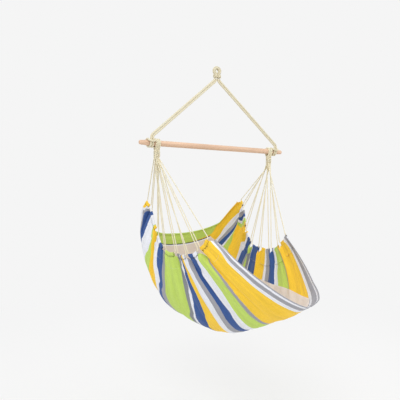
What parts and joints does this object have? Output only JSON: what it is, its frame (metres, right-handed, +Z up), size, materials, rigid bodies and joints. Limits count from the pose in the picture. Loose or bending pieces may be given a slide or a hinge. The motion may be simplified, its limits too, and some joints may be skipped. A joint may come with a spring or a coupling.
{
  "type": "hammock chair",
  "caption": "Hanging hammock chair: a striped cloth seat hung by fans of cord from a wooden spreader bar, with a rope bridle and a hanging eye above.",
  "frame": {"origin": "the point where the hook bears, inside the top of the hanging eye", "axes": "+Z up, X along the spreader bar, the sitter faces -Y"},
  "size_m": [1, 1.3794, 1.5668],
  "materials": {
    "rope": "natural cotton rope and cord",
    "bar": "turned, clear matt",
    "cloth": "woven cotton in stripes of yellow, green, blue, grey and white",
    "hem": "folded and stitched hem",
    "lining": "plain woven lining"
  },
  "bodies": {
    "eye": {"hanging_eye": "rope", "eye_lashing": "rope"},
    "bridle": {"bridle_rope_left": "rope", "bridle_rope_right": "rope", "spreader_bar": "bar"},
    "seat": {"harness_band_left": "rope", "harness_band_right": "rope", "harness_lashing_left": "rope", "harness_lashing_right": "rope", "harness_cord_left_1": "rope", "harness_cord_left_2": "rope", "harness_cord_left_3": "rope", "harness_cord_left_4": "rope", "harness_cord_left_5": "rope", "harness_cord_left_6": "rope", "harness_cord_left_7": "rope", "harness_cord_right_1": "rope", "harness_cord_right_2": "rope", "harness_cord_right_3": "rope", "harness_cord_right_4": "rope", "harness_cord_right_5": "rope", "harness_cord_right_6": "rope", "harness_cord_right_7": "rope", "hem_tunnel_left_1": "hem", "hem_tunnel_left_2": "hem", "hem_tunnel_left_3": "hem", "hem_tunnel_left_4": "hem", "hem_tunnel_left_5": "hem", "hem_tunnel_left_6": "hem", "hem_tunnel_left_7": "hem", "hem_tunnel_right_1": "hem", "hem_tunnel_right_2": "hem", "hem_tunnel_right_3": "hem", "hem_tunnel_right_4": "hem", "hem_tunnel_right_5": "hem", "hem_tunnel_right_6": "hem", "hem_tunnel_right_7": "hem", "seat_cloth": "cloth", "seat_lining": "lining"}
  },
  "joints": [
    {"name": "bridle_swing", "type": "hinge", "parent": "eye", "child": "bridle", "pos_m": [0, 0, -0.0547], "axis": [1, 0, 0], "range_deg": [-30, 30]},
    {"name": "seat_tilt", "type": "hinge", "parent": "bridle", "child": "seat", "pos_m": [0, 0, -0.464], "axis": [1, 0, 0], "range_deg": [-35, 35]}
  ]
}
